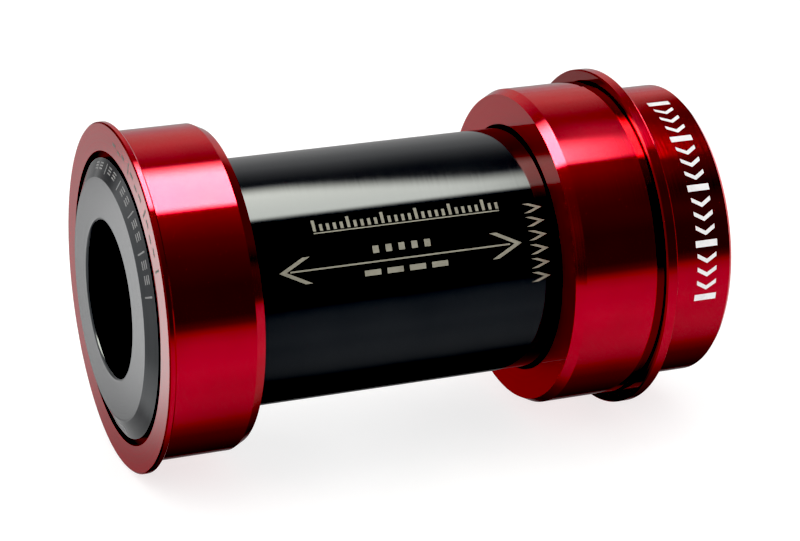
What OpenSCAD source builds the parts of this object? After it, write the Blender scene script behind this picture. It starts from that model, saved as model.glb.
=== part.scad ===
// Press-fit bottom bracket: two bearing cups joined by a telescoping centre sleeve.
// The crank axle lies along X and +X is the drive side, which is the right side of the bicycle.
// The origin is on that axis, in the middle of the assembly with the sleeve fully home.
// Both cups are drawn from their outboard end face: the depth s grows from there towards the middle.

/* [Frame fit] */
// Diameter of the press seat on both cups
seat_d = 46; // [44:0.1:56]
// Length of each cup inside the frame, from the flange to the inboard end
cup_depth = 13; // [12:0.1:20]
// Distance between the two flanges with the sleeve fully home
flange_gap = 71.5; // [56:0.5:100]
// Length of the lead-in at a cup's inboard end
lead_in_l = 1.4; // [0.4:0.1:2]
// Depth of the lead-in below the press seat
lead_in_h = 0.7; // [0.2:0.1:1.2]

/* [Left cup] */
// Height of the left flange above the press seat
left_flange_h = 1.5; // [0.6:0.1:4]
// Thickness of the left flange
left_flange_t = 1; // [0.6:0.1:3]
// Step from the left bearing seat out to the cover's recess, in radius
left_recess_step = 2; // [1.2:0.1:2.2]
// Clearance around the left cover, in radius
left_cover_gap = 0.9; // [0.2:0.05:1.2]

/* [Right cup] */
// Height of the right flange above the press seat
right_flange_h = 1.65; // [0.6:0.05:4]
// Thickness of the right flange
right_flange_t = 1.75; // [1:0.05:4]
// Wall of the barrel around the bearing or the sleeve bore, whichever is larger
barrel_wall = 2.75; // [2:0.05:4]
// Length of the right cup outside the frame, from the seat face to the outer end
barrel_l = 12.2; // [9:0.1:20]
// Radius of the round between the barrel and the flange
barrel_fillet = 1.5; // [0.4:0.1:1.6]
// Width of the relief groove beside the right flange
relief_w = 0.75; // [0.4:0.05:1.2]
// Depth of the relief groove
relief_h = 0.35; // [0.1:0.05:0.6]
// Step from the right bearing seat out to the cover's recess, in radius
right_recess_step = 1.5; // [1.2:0.1:1.8]
// Clearance around the right cover, in radius
right_cover_gap = 0.5; // [0.2:0.05:0.8]

/* [Cup edges] */
// Chamfer on the flange rims
rim_chamfer = 0.2; // [0.05:0.05:0.3]
// Chamfer on the outer end of the barrel
end_chamfer = 0.5; // [0.1:0.1:0.7]

/* [Bearings] */
// Bore of both bearings
bearing_bore_d = 25; // [19:0.1:27]
// Height of a bearing between its bore and its outside
bearing_h = 6; // [5.8:0.1:6.4]
// Width of both bearings
bearing_w = 6; // [5.6:0.1:8]
// Diameter of a ball
ball_d = 3.5; // [2.6:0.1:3.6]
// Number of balls in a bearing
ball_count = 17; // [8:1:21]
// Free play between a ball and its grooves, in radius
ball_play = 0.1; // [0.05:0.01:0.15]
// Depth of the ball groove in each race
groove_h = 0.75; // [0.5:0.05:0.8]
// Thickness of the cage
cage_t = 0.9; // [0.6:0.1:1.2]
// Gap between the cage and the seals beside it
cage_gap = 0.3; // [0.1:0.05:0.35]
// Thickness of a bearing seal
seal_t = 0.6; // [0.3:0.05:0.65]
// How far a seal reaches into the outer race
seal_seat_h = 0.4; // [0.2:0.05:0.5]
// Chamfer on the races
race_chamfer = 0.3; // [0.1:0.05:0.4]

/* [Dust covers] */
// Wall of the left cover's spigot, between the spindle and the bearing
left_spigot_wall = 1.5; // [0.5:0.1:2.5]
// Wall of the right cover's spigot
right_spigot_wall = 0.5; // [0.4:0.1:2.5]
// How far the covers stand out of the cups
cover_proud = 1.1; // [0.4:0.1:2]
// Width of the sloping outer band of a cover
cover_cone_w = 2.6; // [1:0.1:3]
// Thickness of a cover's rim below the cup's end face
cover_rim_t = 0.8; // [0.6:0.05:1.2]
// Room between a cover and the bearing behind it
cover_back_gap = 0.2; // [0.1:0.05:0.4]
// Round at the mouth of a cover's bore
cover_bore_round = 0.4; // [0.1:0.05:0.6]
// Length of the spigot inside the bearing
spigot_l = 3.6; // [2:0.1:5]
// Width of the lip seal behind a cover
lip_w = 0.6; // [0.4:0.05:0.8]

/* [Sleeve] */
// Outside diameter of the sleeve
sleeve_d = 35; // [34:0.1:42]
// Wall of the sleeve
sleeve_wall = 1.5; // [0.8:0.1:2.5]
// Clearance of the sleeve in the cups, in radius
sleeve_clear = 0.5; // [0.3:0.05:0.6]
// Gap left at each end of the sleeve when it is fully home
sleeve_end_gap = 0.2; // [0.1:0.1:1]
// Chamfer on the sleeve's ends
sleeve_chamfer = 0.3; // [0.1:0.05:0.5]
// Cross-section of the O-rings around the sleeve
o_ring_d = 1.2; // [1:0.1:1.6]
// Distance from a cup's inboard end to the middle of its O-ring
o_ring_inset = 1.1; // [1.1:0.1:2.5]
// Thickness of the shoulder between the bearing and the sleeve
shoulder_t = 0.6; // [0.4:0.1:1.5]
// How far the shoulder laps the bearing's outer race, before shoulder_h is added to it
race_lap = 1; // [0.5:0.1:1.5]
// How far the shoulder stands in from the sleeve's outside or from that lap, whichever is smaller
shoulder_h = 0.5; // [0.3:0.05:1]

/* [Fits] */
// Clearance of a fixed piece in its seat, in radius
seat_fit = 0.01; // [0.005:0.005:0.02]
// Clearance of a moving piece, in radius
run_fit = 0.02; // [0.02:0.01:0.04]
// Clearance between the moving pieces inside a bearing
inner_gap = 0.1; // [0.08:0.01:0.12]

/* [Hidden] */
$fn = 120;
fillet_steps = 8;
cut = 1;

left = -1;
right = 1;
seat_r = seat_d / 2;
lead_r = seat_r - lead_in_h;
bearing_bore_r = bearing_bore_d / 2;
bearing_r = bearing_bore_r + bearing_h;
sleeve_r = sleeve_d / 2;
sleeve_bore_r = sleeve_r + sleeve_clear;
shoulder_r = min(sleeve_r, bearing_r - race_lap) - shoulder_h;
barrel_r = max(sleeve_bore_r, bearing_r) + barrel_wall;

// Cup lengths, and where the pieces lie along a cup
left_cup_l = left_flange_t + cup_depth;
right_cup_l = barrel_l + cup_depth;
half_l = (left_flange_t + flange_gap + barrel_l) / 2;
bearing_s = cover_rim_t + cover_back_gap;
shoulder_s = bearing_s + bearing_w;
sleeve_s = shoulder_s + shoulder_t;
bearing_mid_s = bearing_s + bearing_w / 2;

// Bearing radii
pitch_r = (bearing_bore_r + bearing_r) / 2;
ball_r = ball_d / 2;
groove_r = ball_r + ball_play;
inner_land_r = pitch_r - groove_r + groove_h;
outer_land_r = pitch_r + groove_r - groove_h;
seal_seat_r = outer_land_r + seal_seat_h;
cage_w = bearing_w - 2 * (seal_t + cage_gap);

function cup_l(side) = side == left ? left_cup_l : right_cup_l;
function recess_r(side) = bearing_r + (side == left ? left_recess_step : right_recess_step);
function cover_r(side) = recess_r(side) - (side == left ? left_cover_gap : right_cover_gap);
function bore_r(side) = bearing_bore_r - (side == left ? left_spigot_wall : right_spigot_wall);

// A quarter round in the (radius, depth) plane, from one angle to another about a centre
function arc(centre, radius, from, to) =
  [for (i = [0 : fillet_steps]) centre + radius * [cos(from + (to - from) * i / fillet_steps),
                                                   sin(from + (to - from) * i / fillet_steps)]];

// Stands a piece drawn from a cup's outboard end, with depth along Z, at its place on the axis
module from_end(side) {
  translate([side * half_l, 0, 0]) rotate([0, -side * 90, 0]) children();
}

module turned(points) {
  rotate_extrude() polygon(points);
}

module hole(radius, from_s, to_s) {
  translate([0, 0, from_s]) cylinder(r = radius, h = to_s - from_s);
}

// Press seat from the flange to the lead-in, as outline points
function seat_outline(length) = [[seat_r, length - lead_in_l], [lead_r, length], [0, length]];

// Rim of a flange between two depths, as outline points
function rim_outline(radius, from_s, to_s) = [
  [radius - rim_chamfer, from_s], [radius, from_s + rim_chamfer],
  [radius, to_s - rim_chamfer], [radius - rim_chamfer, to_s]];

module left_cup_outside() {
  turned(concat([[0, 0]],
    rim_outline(seat_r + left_flange_h, 0, left_flange_t),
    [[seat_r, left_flange_t]],
    seat_outline(left_cup_l)));
}

module right_cup_outside() {
  flange_r = seat_r + right_flange_h;
  flange_s = barrel_l - right_flange_t;
  relief_r = seat_r - relief_h;
  fillet = min(barrel_fillet, (flange_r - rim_chamfer - barrel_r) / 2);
  chamfer = min(end_chamfer, (barrel_r - recess_r(right)) / 2);
  turned(concat(
    [[0, 0], [barrel_r - chamfer, 0], [barrel_r, chamfer]],
    arc([barrel_r + fillet, flange_s - fillet], fillet, 180, 90),
    rim_outline(flange_r, flange_s, barrel_l),
    [[relief_r, barrel_l], [relief_r, barrel_l + relief_w], [seat_r, barrel_l + relief_w]],
    seat_outline(right_cup_l)));
}

// Everything bored out of a cup: cover recess, bearing seat, shoulder, sleeve bore and O-ring groove
module cup_bores(side) {
  o_ring_s = cup_l(side) - o_ring_inset;
  groove_w = o_ring_d + inner_gap;
  hole(recess_r(side), -cut, bearing_s);
  hole(bearing_r + seat_fit, -cut, shoulder_s);
  hole(shoulder_r, -cut, sleeve_s + cut);
  hole(sleeve_bore_r, sleeve_s, cup_l(side) + cut);
  hole(sleeve_r + run_fit + o_ring_d + seat_fit, o_ring_s - groove_w / 2, o_ring_s + groove_w / 2);
}

module cup(side) {
  from_end(side) difference() {
    if (side == left) left_cup_outside(); else right_cup_outside();
    cup_bores(side);
  }
}

// Dust cover: a flat face, a sloping outer band and a thin spigot pressed into the inner race
module cover(side) {
  bore = bore_r(side);
  spigot_r = bearing_bore_r - seat_fit;
  boss_r = (bearing_bore_r + inner_land_r) / 2;
  from_end(side) difference() {
    turned(concat(
      [[bore, bearing_s + spigot_l]],
      arc([bore + cover_bore_round, cover_bore_round - cover_proud], cover_bore_round, 180, 270),
      [[cover_r(side) - cover_cone_w, -cover_proud], [cover_r(side), 0],
       [cover_r(side), cover_rim_t], [boss_r, cover_rim_t], [boss_r, bearing_s],
       [spigot_r, bearing_s], [spigot_r, bearing_s + spigot_l]]));
    lip_ring(0);
  }
}

// Space of the lip seal behind a cover, and the seal itself when it is lifted by a gap
module lip_ring(gap) {
  middle_r = (seal_seat_r + bearing_r - race_chamfer) / 2;
  difference() {
    hole(middle_r + lip_w / 2 - gap, gap, bearing_s - inner_gap / 2);
    hole(middle_r - lip_w / 2 + gap, -cut, bearing_s);
  }
}

module cover_lip(side) {
  from_end(side) lip_ring(seat_fit);
}

// Ball groove shared by both races
module ball_groove() {
  rotate_extrude() translate([pitch_r, bearing_mid_s]) circle(r = groove_r, $fn = 64);
}

module inner_race(side) {
  from_end(side) difference() {
    turned([
      [bearing_bore_r + race_chamfer, bearing_s], [inner_land_r, bearing_s],
      [inner_land_r, shoulder_s], [bearing_bore_r + race_chamfer, shoulder_s],
      [bearing_bore_r, shoulder_s - race_chamfer], [bearing_bore_r, bearing_s + race_chamfer]]);
    ball_groove();
  }
}

module outer_race(side) {
  seal_room = seal_t + seat_fit;
  from_end(side) difference() {
    turned([
      [seal_seat_r, bearing_s], [bearing_r - race_chamfer, bearing_s],
      [bearing_r, bearing_s + race_chamfer], [bearing_r, shoulder_s - race_chamfer],
      [bearing_r - race_chamfer, shoulder_s], [seal_seat_r, shoulder_s],
      [seal_seat_r, shoulder_s - seal_room], [outer_land_r, shoulder_s - seal_room],
      [outer_land_r, bearing_s + seal_room], [seal_seat_r, bearing_s + seal_room]]);
    ball_groove();
  }
}

// One child in each ball's place
module ball_ring() {
  for (i = [0 : ball_count - 1])
    rotate([0, 0, i * 360 / ball_count]) translate([pitch_r, 0, bearing_mid_s]) children();
}

module balls(side) {
  from_end(side) ball_ring() sphere(r = ball_r, $fn = 48);
}

module cage(side) {
  from_end(side) difference() {
    hole(pitch_r + cage_t / 2, bearing_mid_s - cage_w / 2, bearing_mid_s + cage_w / 2);
    hole(pitch_r - cage_t / 2, bearing_s, shoulder_s);
    ball_ring() rotate([0, 90, 0]) cylinder(r = groove_r, h = 2 * cage_t, center = true, $fn = 48);
  }
}

module seal(side, from_s) {
  from_end(side) difference() {
    hole(seal_seat_r - seat_fit, from_s, from_s + seal_t);
    hole(inner_land_r + inner_gap, from_s - cut, from_s + seal_t + cut);
  }
}

module sleeve_o_ring(side) {
  from_end(side) rotate_extrude()
    translate([sleeve_r + run_fit + o_ring_d / 2, cup_l(side) - o_ring_inset]) circle(d = o_ring_d, $fn = 48);
}

module centre_sleeve() {
  sleeve_l = 2 * (half_l - sleeve_s - sleeve_end_gap);
  inside_r = sleeve_r - sleeve_wall;
  color([0.03, 0.03, 0.035]) rotate([0, 90, 0]) translate([0, 0, -sleeve_l / 2]) turned([
    [inside_r, 0], [sleeve_r - sleeve_chamfer, 0], [sleeve_r, sleeve_chamfer],
    [sleeve_r, sleeve_l - sleeve_chamfer], [sleeve_r - sleeve_chamfer, sleeve_l], [inside_r, sleeve_l]]);
}

module left_cup() { color([0.62, 0.02, 0.05]) cup(left); }
module right_cup() { color([0.62, 0.02, 0.05]) cup(right); }
module left_cover() { color([0.12, 0.12, 0.13]) cover(left); }
module right_cover() { color([0.12, 0.12, 0.13]) cover(right); }
module left_cover_lip() { color([0.05, 0.05, 0.05]) cover_lip(left); }
module right_cover_lip() { color([0.05, 0.05, 0.05]) cover_lip(right); }
module left_inner_race() { color([0.75, 0.76, 0.78]) inner_race(left); }
module right_inner_race() { color([0.75, 0.76, 0.78]) inner_race(right); }
module left_outer_race() { color([0.75, 0.76, 0.78]) outer_race(left); }
module right_outer_race() { color([0.75, 0.76, 0.78]) outer_race(right); }
module left_balls() { color([0.15, 0.15, 0.16]) balls(left); }
module right_balls() { color([0.15, 0.15, 0.16]) balls(right); }
module left_cage() { color([0.8, 0.75, 0.6]) cage(left); }
module right_cage() { color([0.8, 0.75, 0.6]) cage(right); }
module left_outboard_seal() { color([0.1, 0.1, 0.1]) seal(left, bearing_s); }
module right_outboard_seal() { color([0.1, 0.1, 0.1]) seal(right, bearing_s); }
module left_inboard_seal() { color([0.1, 0.1, 0.1]) seal(left, shoulder_s - seal_t); }
module right_inboard_seal() { color([0.1, 0.1, 0.1]) seal(right, shoulder_s - seal_t); }
module left_sleeve_o_ring() { color([0.05, 0.05, 0.05]) sleeve_o_ring(left); }
module right_sleeve_o_ring() { color([0.05, 0.05, 0.05]) sleeve_o_ring(right); }

centre_sleeve();
left_cup();
left_cover();
left_cover_lip();
left_inner_race();
left_outer_race();
left_balls();
left_cage();
left_outboard_seal();
left_inboard_seal();
left_sleeve_o_ring();
right_cup();
right_cover();
right_cover_lip();
right_inner_race();
right_outer_race();
right_balls();
right_cage();
right_outboard_seal();
right_inboard_seal();
right_sleeve_o_ring();
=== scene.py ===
"""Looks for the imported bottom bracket: finishes, laser marks, studio and camera."""

import math

import bmesh
import bpy
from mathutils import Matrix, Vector


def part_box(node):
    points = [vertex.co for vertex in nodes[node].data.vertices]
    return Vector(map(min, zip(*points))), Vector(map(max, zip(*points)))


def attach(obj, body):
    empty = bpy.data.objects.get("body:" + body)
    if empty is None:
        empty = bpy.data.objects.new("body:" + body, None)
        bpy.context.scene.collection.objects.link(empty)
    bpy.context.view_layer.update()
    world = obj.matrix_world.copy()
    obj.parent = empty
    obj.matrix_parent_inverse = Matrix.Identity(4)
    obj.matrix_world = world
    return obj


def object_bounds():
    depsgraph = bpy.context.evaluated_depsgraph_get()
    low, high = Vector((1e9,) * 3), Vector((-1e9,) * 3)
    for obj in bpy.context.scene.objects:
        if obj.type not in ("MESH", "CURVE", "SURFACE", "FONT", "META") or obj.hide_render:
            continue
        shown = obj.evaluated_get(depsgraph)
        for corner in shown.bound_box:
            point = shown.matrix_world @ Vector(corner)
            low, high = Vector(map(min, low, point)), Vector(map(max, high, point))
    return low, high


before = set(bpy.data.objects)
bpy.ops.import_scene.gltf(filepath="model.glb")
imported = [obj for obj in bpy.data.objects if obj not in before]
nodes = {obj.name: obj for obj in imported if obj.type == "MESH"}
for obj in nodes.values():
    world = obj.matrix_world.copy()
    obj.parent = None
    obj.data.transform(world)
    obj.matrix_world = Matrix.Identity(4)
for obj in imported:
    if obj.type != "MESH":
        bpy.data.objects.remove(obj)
cad_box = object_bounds()
MM = 0.001


# ---------------------------------------------------------------- node helpers
class Net:
    """A node tree with short ways to add nodes and links."""

    def __init__(self, tree):
        self.tree = tree
        tree.nodes.clear()

    def add(self, kind, inputs=None, **settings):
        node = self.tree.nodes.new(kind)
        for key, value in settings.items():
            setattr(node, key, value)
        for key, value in (inputs or {}).items():
            self.put(node.inputs[key], value)
        return node

    def put(self, socket, value):
        if isinstance(value, bpy.types.NodeSocket):
            self.tree.links.new(value, socket)
        else:
            socket.default_value = value

    def math(self, operation, a, b=None, c=None, clamp=False):
        node = self.add("ShaderNodeMath", operation=operation, use_clamp=clamp)
        for i, value in enumerate((a, b, c)):
            if value is not None:
                self.put(node.inputs[i], value)
        return node.outputs[0]

    def remap(self, value, a, b, low=0.0, high=1.0, smooth=True):
        """low before a, high after b, smooth in between."""
        node = self.add("ShaderNodeMapRange",
                        {"Value": value, "From Min": a, "From Max": b, "To Min": low, "To Max": high})
        node.interpolation_type = "SMOOTHSTEP" if smooth else "LINEAR"
        return node.outputs["Result"]

    def window(self, value, a, b, c, d):
        """0 before a and after d, 1 from b to c."""
        return self.math("MULTIPLY", self.remap(value, a, b), self.remap(value, c, d, 1.0, 0.0))

    def mix(self, factor, a, b):
        node = self.add("ShaderNodeMix", data_type="RGBA")
        self.put(node.inputs["Factor"], factor)
        self.put(node.inputs[6], a)
        self.put(node.inputs[7], b)
        return node.outputs[2]

    def ramp(self, value, stops, interpolation="LINEAR"):
        node = self.add("ShaderNodeValToRGB", {"Fac": value})
        node.color_ramp.interpolation = interpolation
        elements = node.color_ramp.elements
        while len(elements) < len(stops):
            elements.new(0.5)
        for element, (position, colour) in zip(elements, stops):
            element.position = position
            element.color = colour if isinstance(colour, tuple) else (colour, colour, colour, 1)
        return node.outputs["Color"]

    def noise(self, vector, scale, detail=2.0, roughness=0.5, dimensions="3D"):
        node = self.add("ShaderNodeTexNoise", {"Vector": vector, "Scale": scale, "Detail": detail,
                                               "Roughness": roughness}, noise_dimensions=dimensions)
        return node.outputs["Fac"]

    def bump(self, height, distance, strength=1.0, normal=None):
        node = self.add("ShaderNodeBump", {"Height": height, "Distance": distance, "Strength": strength})
        if normal is not None:
            self.put(node.inputs["Normal"], normal)
        return node.outputs["Normal"]


class Surface(Net):
    """A material's tree, with the place on the part: x along the axis and r from it, in millimetres."""

    def __init__(self, name):
        self.material = bpy.data.materials.new(name)
        self.material.use_nodes = True
        super().__init__(self.material.node_tree)
        self.out = self.add("ShaderNodeOutputMaterial")
        self.shader = self.add("ShaderNodeBsdfPrincipled")
        self.put(self.out.inputs["Surface"], self.shader.outputs[0])
        coordinates = self.add("ShaderNodeTexCoord").outputs
        self.object = coordinates["Object"]
        self.facing = self.add("ShaderNodeSeparateXYZ", {0: coordinates["Normal"]}).outputs[0]
        place = self.add("ShaderNodeVectorMath", {0: self.object, "Scale": 1 / MM}, operation="SCALE").outputs[0]
        axes = self.add("ShaderNodeSeparateXYZ", {0: place}).outputs
        self.place, self.x, self.y, self.z = place, axes[0], axes[1], axes[2]
        self.r = self.math("SQRT", self.math("ADD", self.math("MULTIPLY", self.y, self.y),
                                             self.math("MULTIPLY", self.z, self.z)))

    def set(self, **values):
        for key, value in values.items():
            self.put(self.shader.inputs[key.replace("_", " ")], value)
        return self

    def turning(self, pitch, detail=3.0):
        """Tool lines of that pitch in mm: rings on a face, hoops on a barrel."""
        rings = self.add("ShaderNodeCombineXYZ", {0: self.x, 1: self.r, 2: 0.0}).outputs[0]
        return self.noise(rings, 1 / pitch, detail, 0.65, "2D")

    def cloud(self, size, detail=2.0):
        """Soft blotches of that size in mm."""
        return self.noise(self.place, 1 / size, detail)


# ------------------------------------------------------------------- materials
RECESS = {"left_cup": 20.5, "right_cup": 20.0}      # radius of the hole round each cover, mm


def red_anodised():
    """Polished round the outside, satin on the faces across the axis, with painted shade: near-black in the hole
    round each cover, dark on the right flange's face beside the seat and on the flange-rim chamfers that face -X.
    """
    s = Surface("red_anodised")
    lines, blotches = s.turning(0.22), s.cloud(9.0)
    barrel = s.ramp(blotches, [(0.3, (0.57, 0.0, 0.018, 1)), (0.7, (0.64, 0.0, 0.023, 1))])
    end_face = s.remap(s.math("ABSOLUTE", s.facing), 0.90, 0.97)
    # Painted shade: the right flange's inboard face beside the seat is painted dark red, standing in for the shade
    # in the corner between seat and flange.
    flange_corner_shade = s.math("MULTIPLY", end_face, s.window(s.x, 29.0, 29.3, 30.3, 30.6))
    satin = s.math("SUBTRACT", end_face, flange_corner_shade)
    # Painted shade: flange-rim chamfers that face -X, beyond 24 mm radius, are painted dark and mostly lose their
    # coat, hiding their highlight as if they lay in shade.
    edge = s.math("MULTIPLY", s.window(s.facing, -0.82, -0.76, -0.66, -0.60), s.remap(s.r, 24.0, 24.1))
    painted_shade = s.math("MAXIMUM", flange_corner_shade, edge)
    face = s.ramp(lines, [(0.3, (0.30, 0.0, 0.008, 1)), (0.7, (0.37, 0.0, 0.012, 1))])
    rim = s.remap(s.x, -1.0, 1.0, RECESS["left_cup"], RECESS["right_cup"])
    # Painted shade: the wall of the hole round each cover, near the end faces, is painted near-black and loses its
    # coat, standing in for the shadow in the gap.
    recess_shade = s.math("MULTIPLY", s.remap(s.math("SUBTRACT", s.r, rim), 0.02, 0.08, 1.0, 0.0),
                    s.remap(s.math("ABSOLUTE", s.x), 40.2, 40.4))
    # Dark red painted shade colour for the flange corner and the rim chamfers.
    colour = s.mix(painted_shade, s.mix(satin, barrel, face), (0.15, 0.0, 0.003, 1))
    # Near-black painted shade colour for the hole round each cover.
    colour = s.mix(recess_shade, colour, (0.09, 0.0, 0.002, 1))
    rough = s.math("MULTIPLY_ADD", satin, 0.34, s.remap(lines, 0.3, 0.7, 0.06, 0.09))
    # Painted shade also strips the coat here, so these places reflect almost nothing.
    shade_uncoated = s.math("MAXIMUM", recess_shade, s.math("MULTIPLY", edge, 0.7))
    coat = s.math("MULTIPLY", s.math("SUBTRACT", 1.0, shade_uncoated), s.math("MULTIPLY_ADD", satin, 0.15, 0.75))
    s.set(Base_Color=colour, Metallic=1.0, Roughness=rough, Coat_Weight=coat,
          Coat_Roughness=0.04, Coat_IOR=1.5, Specular_Tint=(0.85, 0.35, 0.38, 1), Normal=s.bump(lines, 0.0000015))
    return s.material


def black_anodised():
    s = Surface("black_sleeve")
    lines, blotches = s.turning(0.3), s.cloud(14.0)
    colour = s.ramp(blotches, [(0.3, (0.0048, 0.0050, 0.0054, 1)), (0.7, (0.0072, 0.0075, 0.0080, 1))])
    s.set(Base_Color=colour, Metallic=0.0, Roughness=s.remap(lines, 0.3, 0.7, 0.05, 0.08),
          IOR=1.46, Specular_Tint=(0.88, 0.93, 1.0, 1), Normal=s.bump(lines, 0.000001))
    return s.material


def black_cover():
    s = Surface("black_cover")
    lines, blotches = s.turning(0.25), s.cloud(5.0)
    colour = s.mix(blotches, s.ramp(lines, [(0.3, (0.010, 0.010, 0.011, 1)), (0.7, (0.022, 0.022, 0.024, 1))]),
                   (0.016, 0.016, 0.018, 1))
    s.set(Base_Color=colour, Metallic=0.0, Roughness=s.remap(lines, 0.3, 0.7, 0.07, 0.11), IOR=1.5,
          Specular_Tint=(0.91, 0.98, 1.0, 1), Normal=s.bump(lines, 0.000003))
    return s.material


def steel(name, low, high, roughness):
    s = Surface(name)
    lines, blotches = s.turning(0.12), s.cloud(3.0)
    s.set(Base_Color=s.ramp(blotches, [(0.3, low), (0.7, high)]), Metallic=1.0,
          Roughness=s.remap(lines, 0.3, 0.7, roughness, roughness * 1.6), Normal=s.bump(lines, 0.000001))
    return s.material


def moulded(name, low, high, roughness, grain):
    s = Surface(name)
    fine, blotches = s.cloud(grain, 3.0), s.cloud(2.5)
    s.set(Base_Color=s.ramp(blotches, [(0.3, low), (0.7, high)]), Metallic=0.0,
          Roughness=s.remap(fine, 0.3, 0.7, roughness, roughness + 0.12), IOR=1.5,
          Normal=s.bump(fine, 0.00001))
    return s.material


def laser_mark(name, low, high):
    s = Surface(name)
    fine, blotches = s.cloud(0.12, 3.0), s.cloud(1.6)
    colour = s.mix(s.remap(fine, 0.3, 0.7), s.ramp(blotches, [(0.3, low), (0.7, high)]), high)
    s.set(Base_Color=colour, Metallic=0.0, Roughness=s.remap(fine, 0.3, 0.7, 0.45, 0.6), IOR=1.4,
          Normal=s.bump(fine, 0.000004))
    return s.material


FINISH = {
    "red_anodised": red_anodised(),
    "black_sleeve": black_anodised(),
    "black_cover": black_cover(),
    "bearing_steel": steel("bearing_steel", (0.50, 0.50, 0.49, 1), (0.62, 0.61, 0.60, 1), 0.16),
    "ball_steel": steel("ball_steel", (0.62, 0.62, 0.61, 1), (0.72, 0.71, 0.70, 1), 0.06),
    "cage_polymer": moulded("cage_polymer", (0.045, 0.05, 0.055, 1), (0.07, 0.075, 0.08, 1), 0.38, 0.3),
    "seal_rubber": moulded("seal_rubber", (0.012, 0.012, 0.012, 1), (0.022, 0.022, 0.022, 1), 0.5, 0.2),
}
for node in nodes.values():
    for slot in node.material_slots:
        slot.material = FINISH[slot.material.name.split(".")[0]] if slot.material else FINISH["seal_rubber"]


# ----------------------------------------------------------------- laser marks
class Wall:
    """A straight stretch of a turned profile, in mm.
    Points on it are (s, t): s from the first end, t degrees up from the front."""

    def __init__(self, x0, r0, x1, r1):
        self.x0, self.r0 = x0, r0
        length = math.hypot(x1 - x0, r1 - r0)
        self.dx, self.dr = (x1 - x0) / length, (r1 - r0) / length
        side = 1 if self.dx > 0 or (self.dx == 0 and self.dr * x0 < 0) else -1
        self.nx, self.nr = -self.dr * side, self.dx * side

    def at(self, s, t, proud):
        r = self.r0 + s * self.dr + proud * self.nr
        x = self.x0 + s * self.dx + proud * self.nx
        a = math.radians(t)
        return (x * MM, -r * math.cos(a) * MM, r * math.sin(a) * MM)


def rings(node):
    """Every vertex of a CAD node as its place along the axis and its distance from it, in mm."""
    return [(v.co.x / MM, math.hypot(v.co.y, v.co.z) / MM) for v in nodes[node].data.vertices]


def add_piece(name, verts, faces, body, material, smooth=None):
    """A closed mesh with its faces turned outwards, riding on a body."""
    mesh = bpy.data.meshes.new(name)
    mesh.from_pydata(verts, [], faces)
    if smooth:
        mesh.polygons.foreach_set("use_smooth", smooth)
    piece = bpy.data.objects.new(name, mesh)
    bpy.context.scene.collection.objects.link(piece)
    shape = bmesh.new()
    shape.from_mesh(mesh)
    bmesh.ops.recalc_face_normals(shape, faces=shape.faces)
    shape.to_mesh(mesh)
    shape.free()
    mesh.materials.append(material)
    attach(piece, body)


def marks(name, wall, strokes, body, material, proud=0.012, sunk=0.03):
    """Thin closed strips on a wall. A stroke is a list of (s, t) pairs, its two edges' points in step."""
    verts, faces = [], []
    for stroke in strokes:
        rows = []
        for (a, b), (c, d) in zip(stroke, stroke[1:]):
            steps = max(1, math.ceil(max(abs(c[1] - a[1]), abs(d[1] - b[1])) / 1.5))
            for i in range(steps):
                k = i / steps
                rows.append(tuple((p[0] + (q[0] - p[0]) * k, p[1] + (q[1] - p[1]) * k)
                                  for p, q in ((a, c), (b, d))))
        rows.append(stroke[-1])
        start = len(verts)
        for a, b in rows:
            verts += [wall.at(*a, proud), wall.at(*b, proud), wall.at(*b, -sunk), wall.at(*a, -sunk)]
        for i in range(len(rows) - 1):
            p, q = start + 4 * i, start + 4 * i + 4
            faces += [(p + j, p + (j + 1) % 4, q + (j + 1) % 4, q + j) for j in range(4)]
        end = start + 4 * (len(rows) - 1)
        faces += [(start, start + 3, start + 2, start + 1), (end, end + 1, end + 2, end + 3)]
    add_piece(name, verts, faces, body, material)


def bar(s0, t0, s1, t1):
    """A plain bar from one corner to the other."""
    return [((s0, t0), (s1, t0)), ((s0, t1), (s1, t1))]


def chevron_along(s, t, reach, half, width, way=1):
    """A V pointing along the axis, half degrees to each side."""
    return [((s - way * reach, t - half), (s - way * (reach + width), t - half)), ((s, t), (s - way * width, t)),
            ((s - way * reach, t + half), (s - way * (reach + width), t + half))]


def chevron_round(s, t, half, reach, width):
    """A V pointing down round the barrel, half mm to each side."""
    return [((s - half, t + reach), (s - half, t + reach + width)), ((s, t), (s, t + width)),
            ((s + half, t + reach), (s + half, t + reach + width))]


def sleeve_marks():
    low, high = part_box("centre_sleeve")
    r = high.z / MM
    wall = Wall(0.0, r, 1.0, r)
    strokes = [bar(-22.6, 21.2, 9.8, 22.0),
               chevron_along(-24.2, 21.6, 3.6, 6.0, 1.1, -1), chevron_along(11.6, 21.6, 3.6, 6.0, 1.1)]
    for i in range(28):
        tall = 5.4 if i % 5 == 0 else 3.2
        strokes.append(bar(-18.3 + i, 38.6, -17.85 + i, 38.6 + tall))
    strokes.append(bar(-18.3, 37.4, 9.15, 38.0))
    for i in range(5):
        strokes.append(bar(-10.4 + 1.9 * i, 25.4, -9.5 + 1.9 * i, 28.8))
    for i in range(4):
        strokes.append(bar(-12.0 + 3.3 * i, 15.6, -9.6 + 3.3 * i, 18.2))
    for i in range(6):
        strokes.append(chevron_along(15.6, 5.0 + 6.4 * i, 1.9, 2.3, 1.0))
    marks("sleeve_marks", wall, strokes, "sleeve",
          laser_mark("sleeve_laser", (0.17, 0.16, 0.125, 1), (0.26, 0.25, 0.20, 1)))


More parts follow.
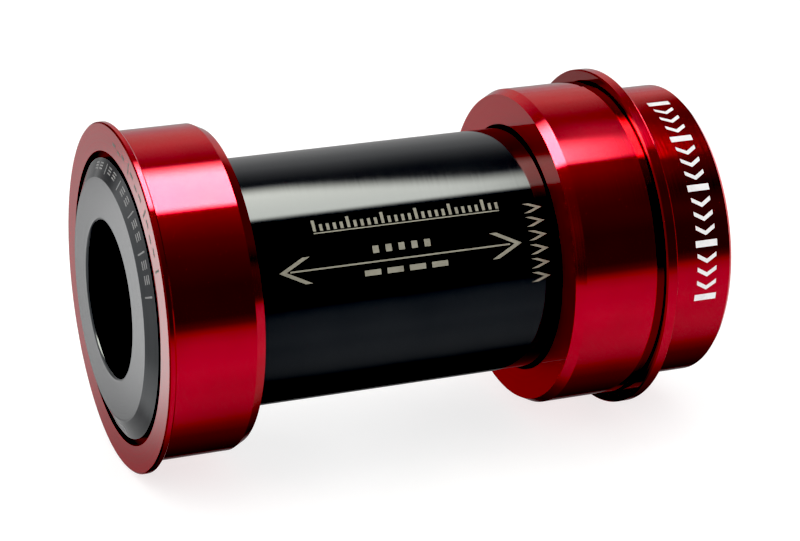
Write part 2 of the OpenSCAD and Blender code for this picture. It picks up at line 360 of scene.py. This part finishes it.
def barrel_marks():
    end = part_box("right_cup")[1].x / MM
    r = max(r for x, r in rings("right_cup") if x > end - 2.0)
    wall = Wall(0.0, r, 1.0, r)
    strokes = []
    for i in range(17):
        t = -11.0 + 5.4 * i
        if i % 4 == 0:
            strokes.append(bar(36.5, t, 39.9, t + 2.6))
        else:
            strokes.append(chevron_round(38.2, t - 1.0, 1.5, 2.4, 1.7))
    marks("barrel_marks", wall, strokes, "right_cup_body",
          laser_mark("white_laser", (0.62, 0.62, 0.62, 1), (0.78, 0.78, 0.78, 1)))


def cover_marks():
    """On the cover's sloping band, from its rim in to its flat face."""
    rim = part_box("left_cup")[0].x / MM
    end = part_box("left_cover")[0].x / MM
    face = max(r for x, r in rings("left_cover") if x < end + 0.01)
    wall = Wall(rim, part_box("left_cover")[1].z / MM, end, face)
    strokes = []
    for i in range(15):
        t = 18.0 + 6.2 * i
        if i % 3 == 0:
            strokes.append(bar(0.5, t + 0.6, 2.0, t + 1.3))
        else:
            strokes += [bar(0.6 + 0.4 * k, t, 0.78 + 0.4 * k, t + 3.8) for k in range(3)]
    strokes += [bar(0.6, -93.0, 0.85, -77.0), bar(1.75, -93.0, 2.0, -77.0), bar(0.85, -93.0, 1.75, -92.0),
                bar(0.85, -78.0, 1.75, -77.0)]
    marks("cover_marks", wall, strokes, "left_inner_ring",
          laser_mark("cover_laser", (0.16, 0.16, 0.16, 1), (0.24, 0.24, 0.24, 1)))


def flange_marks():
    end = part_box("left_cup")[0].x / MM
    hole = min(r for x, r in rings("left_cup") if x < end + 0.01)
    wall = Wall(end, hole, end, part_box("left_cup")[1].z / MM)
    strokes = []
    for i in range(12):
        t = 27.0 + 5.2 * i
        step = 0.35 * (i % 2)
        strokes.append(bar(1.1, t, 2.9, t + 0.8) if i % 4 == 0 else bar(1.5 + step, t, 1.9 + step, t + 3.2))
    marks("flange_marks", wall, strokes, "left_cup_body",
          laser_mark("flange_laser", (0.07, 0.075, 0.065, 1), (0.12, 0.125, 0.11, 1)))


def flange_round():
    """The rolled outboard edge of the right flange, a smooth quarter round over the CAD's small chamfer."""
    size = 0.2
    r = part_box("right_cup")[1].z / MM - 0.01
    x = max(x for x, radius in rings("right_cup") if radius > r) + size
    arc = [math.radians(90.0 * i / 6) for i in range(7)]
    profile = [(x - size + size * math.sin(a), r - size + size * math.cos(a)) for a in arc]
    profile.append((x - 1.2 * size, r - 1.2 * size))
    turns, n = 720, len(profile)
    verts = []
    for i in range(turns):
        turn = 2 * math.pi * i / turns
        verts += [(px * MM, -pr * math.cos(turn) * MM, pr * math.sin(turn) * MM) for px, pr in profile]
    faces = [(i * n + j, i * n + (j + 1) % n, (i + 1) % turns * n + (j + 1) % n, (i + 1) % turns * n + j)
             for i in range(turns) for j in range(n)]
    add_piece("right_flange_round", verts, faces, "right_cup_body", FINISH["red_anodised"],
              smooth=[f % n < n - 2 for f in range(len(faces))])


sleeve_marks()
barrel_marks()
cover_marks()
flange_marks()
flange_round()


# ---------------------------------------------------------------------- camera
AZIMUTH, ELEVATION = -0.384502, 0.333902            # radians, from looking along +Y
back = Vector((math.sin(AZIMUTH) * math.cos(ELEVATION), -math.cos(AZIMUTH) * math.cos(ELEVATION),
               math.sin(ELEVATION)))
right = Vector((math.cos(AZIMUTH), math.sin(AZIMUTH), 0.0))
up = back.cross(right)
camera = bpy.data.objects.new("camera", bpy.data.cameras.new("camera"))
bpy.context.scene.collection.objects.link(camera)
camera.location = back * 0.3902 + right * 0.00469 - up * 0.00070 + Vector((-0.00515, 0, 0))
camera.rotation_mode = "QUATERNION"
camera.rotation_quaternion = (-back).to_track_quat("-Z", "Y")
camera.data.sensor_width = 36.0
camera.data.lens = 122.94
camera.data.clip_start, camera.data.clip_end = 0.01, 50.0
bpy.context.scene.camera = camera


# ---------------------------------------------------------------------- studio
def studio():
    """Gloss sees a dark studio with an overhead strip light and a pale band low in front.
    Matt surfaces get an even soft white, and the camera sees near-white."""
    world = bpy.data.worlds.new("studio")
    bpy.context.scene.world = world
    world.use_nodes = True
    world.cycles.sampling_method = "NONE"
    n = Net(world.node_tree)
    direction = n.add("ShaderNodeTexCoord").outputs["Generated"]
    x, y, z = n.add("ShaderNodeSeparateXYZ", {0: direction}).outputs
    turn = n.math("DEGREES", n.math("ARCTAN2", z, n.math("MULTIPLY", y, -1.0)))
    around = [(-180, 0.49), (-160, 0.30), (-135, 0.03), (-120, 0.05), (-100, 0.10), (-90, 0.20), (-80, 0.42),
              (-70, 0.56), (-60, 0.64), (-50, 0.66), (-40, 0.72), (-20, 0.64), (-12, 0.48), (-7, 0.12), (-2, 0.055),
              (20, 0.055), (40, 0.085), (52, 0.13), (60, 0.20), (68, 0.28), (100, 0.33), (112, 0.33), (120, 0.36),
              (130, 0.52), (142, 0.70), (160, 0.68), (180, 0.49)]
    shift = n.math("MULTIPLY_ADD", n.remap(x, 0.45, 0.7), 20.0, n.remap(x, -0.1, 0.1, 9.0, 0.0))
    shift = n.math("MULTIPLY", shift, n.window(turn, -140, -120, -50, -30))
    base = n.ramp(n.math("MULTIPLY_ADD", n.math("ADD", turn, shift), 1 / 360, 0.5),
                  [((p + 180) / 360, v) for p, v in around])
    level = n.math("MULTIPLY", n.remap(x, -0.3, -0.1, 0.5, 0.0), n.window(z, -0.25, -0.15, 0.2, 0.4))
    base = n.math("MULTIPLY", base, n.math("SUBTRACT", 1.0, level))
    under = n.math("MULTIPLY", n.window(z, -0.75, -0.65, -0.47, -0.40), n.remap(x, 0.0, 0.25, 0.34, 0.0))
    under = n.math("MULTIPLY", under, n.remap(y, 0.4, 0.5))
    base = n.math("ADD", base, under)
    dim = n.math("MULTIPLY", n.window(turn, 30, 50, 135, 160), n.remap(x, 0.42, 0.46, 0.0, 0.72))
    base = n.math("MULTIPLY", base, n.math("SUBTRACT", 1.0, dim))
    along = [(0.0, 1.0), (0.377, 0.92), (0.391, 0.80), (0.402, 0.58), (0.416, 0.30), (0.424, 0.19), (0.432, 0.10),
             (0.440, 0.02), (0.446, 0.0)]
    length = n.ramp(n.math("MAXIMUM", x, 0.0), along)
    length = n.math("MULTIPLY", length, n.remap(x, -0.85, -0.7, 0.0, 15.4))
    top = n.math("SUBTRACT", turn, n.remap(x, 0.315, 0.385, 109.0, 91.5, smooth=False))
    strip = n.math("MULTIPLY", n.remap(turn, 73.5, 79.0), n.remap(top, -8.0, 8.0, 1.0, 0.0))
    strip = n.math("MULTIPLY", strip, length)
    skirt = n.math("MULTIPLY", n.window(turn, 84, 94, 98, 118), n.window(x, 0.405, 0.418, 0.436, 0.45))
    base = n.math("MULTIPLY_ADD", skirt, 0.4, base)
    behind = n.remap(y, 0.5, 0.7)
    wide = n.math("MULTIPLY", n.math("MULTIPLY", n.window(x, -0.50, -0.42, -0.21, -0.16), behind),
                  n.window(z, -0.395, -0.345, -0.15, 0.0))
    box = n.math("MULTIPLY", n.math("MULTIPLY", n.window(x, -0.37, -0.33, -0.268, -0.246), behind),
                 n.window(z, -0.395, -0.36, -0.305, -0.280))
    patch = n.math("MULTIPLY_ADD", box, 1.3, n.math("MULTIPLY", wide, 0.38))
    left = n.remap(x, -0.62, -0.45, 0.75, 0.0)
    right_low = n.math("MULTIPLY", n.window(z, -0.5, -0.42, 0.05, 0.15), n.remap(y, 0.3, 0.45, 0.0, 0.8))
    right_end = n.math("MAXIMUM", n.math("MULTIPLY", right_low, n.remap(x, 0.55, 0.65)),
                       n.remap(x, 0.955, 0.975, 0.0, 0.7))
    corner = n.math("MULTIPLY", n.window(x, -0.55, -0.45, -0.375, -0.34),
                    n.window(z, -0.46, -0.42, -0.36, -0.325))
    corner = n.math("SUBTRACT", 1.0, n.math("MULTIPLY", n.math("MULTIPLY", corner, behind), 0.85))
    base, patch = n.math("MULTIPLY", base, corner), n.math("MULTIPLY", patch, corner)
    light = n.math("ADD", n.math("ADD", base, strip), n.math("ADD", patch, n.math("MAXIMUM", left, right_end)))
    path = n.add("ShaderNodeLightPath").outputs
    soft = n.mix(n.remap(z, -0.2, 0.8), (1.05, 1.05, 1.06, 1), (1.27, 1.265, 1.26, 1))
    warm = n.mix(n.remap(strip, 0.5, 3.0), (1, 1, 1, 1), (1.0, 0.99, 0.87, 1))
    gloss = n.add("ShaderNodeVectorMath", {0: warm, "Scale": light}, operation="SCALE").outputs[0]
    seen = n.mix(path["Is Glossy Ray"], soft, gloss)
    seen = n.mix(path["Is Camera Ray"], seen, (1.0, 1.0, 1.0, 1))
    background = n.add("ShaderNodeBackground", {"Color": seen, "Strength": 1.0})
    n.put(n.add("ShaderNodeOutputWorld").inputs["Surface"], background.outputs[0])


def floor():
    low = cad_box[0].z
    half = 4.0
    mesh = bpy.data.meshes.new("floor")
    corners = [(-half, -half, low), (half, -half, low), (half, half, low), (-half, half, low)]
    mesh.from_pydata(corners, [], [(0, 1, 2, 3)])
    plane = bpy.data.objects.new("floor", mesh)
    bpy.context.scene.collection.objects.link(plane)
    s = Surface("floor_paper")
    paper = s.ramp(s.cloud(30.0), [(0.3, (0.30, 0.30, 0.30, 1)), (0.7, (0.32, 0.32, 0.32, 1))])
    s.set(Base_Color=paper, Roughness=0.9, Emission_Color=paper, Emission_Strength=2.4)
    mesh.materials.append(s.material)
    plane.visible_glossy = False


studio()
floor()
scene = bpy.context.scene
scene.view_settings.view_transform = "Standard"
scene.view_settings.look = "None"
scene.view_settings.use_curve_mapping = True
scene.view_settings.curve_mapping.black_level = (0.022, 0.022, 0.022)
scene.view_settings.curve_mapping.update()
